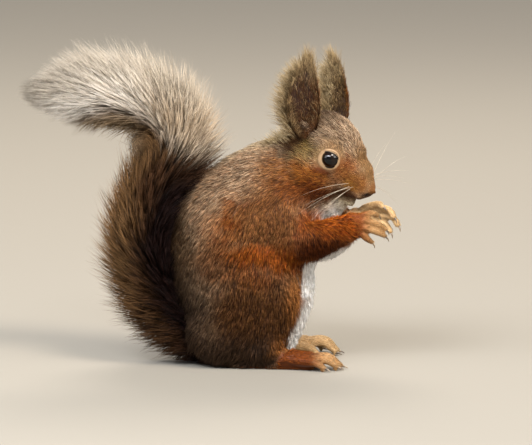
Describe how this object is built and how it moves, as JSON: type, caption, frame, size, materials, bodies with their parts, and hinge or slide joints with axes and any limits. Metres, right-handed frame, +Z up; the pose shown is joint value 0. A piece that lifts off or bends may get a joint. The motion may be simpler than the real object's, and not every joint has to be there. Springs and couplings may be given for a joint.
{
  "type": "red squirrel",
  "caption": "Life-size still model of a red squirrel sitting up with its hands before its mouth and its bushy tail curled up behind.",
  "frame": {"origin": "on the floor under the middle of the animal's box", "axes": "+X the way the squirrel faces, +Y to its left, +Z up"},
  "size_m": [0.218, 0.0736, 0.1874],
  "materials": {
    "coat": "dense short fur, rust brown above and white below",
    "tail_coat": "long bushy tail hair, chestnut below and cream on the curl",
    "paw_skin": "very short orange hair over thin skin",
    "horn": "dark horn with a dull gloss",
    "eye": "wet, nearly black"
  },
  "bodies": {
    "root": {"belly": "coat", "chest": "coat", "claw_foot_left_1": "horn", "claw_foot_left_2": "horn", "claw_foot_left_3": "horn", "claw_foot_left_4": "horn", "claw_foot_left_5": "horn", "claw_foot_right_1": "horn", "claw_foot_right_2": "horn", "claw_foot_right_3": "horn", "claw_foot_right_4": "horn", "claw_foot_right_5": "horn", "claw_hand_left_1": "horn", "claw_hand_left_2": "horn", "claw_hand_left_3": "horn", "claw_hand_left_4": "horn", "claw_hand_right_1": "horn", "claw_hand_right_2": "horn", "claw_hand_right_3": "horn", "claw_hand_right_4": "horn", "ear_left": "coat", "ear_right": "coat", "eye_left": "eye", "eye_right": "eye", "foot_left": "paw_skin", "foot_right": "paw_skin", "forearm_left": "coat", "forearm_right": "coat", "hand_left": "paw_skin", "hand_right": "paw_skin", "haunch_left": "coat", "haunch_right": "coat", "head": "coat", "neck": "coat", "tail_bend": "tail_coat", "tail_lower": "tail_coat", "tail_middle": "tail_coat", "tail_root": "tail_coat", "tail_tip": "tail_coat", "upper_arm_left": "coat", "upper_arm_right": "coat"}
  },
  "joints": []
}
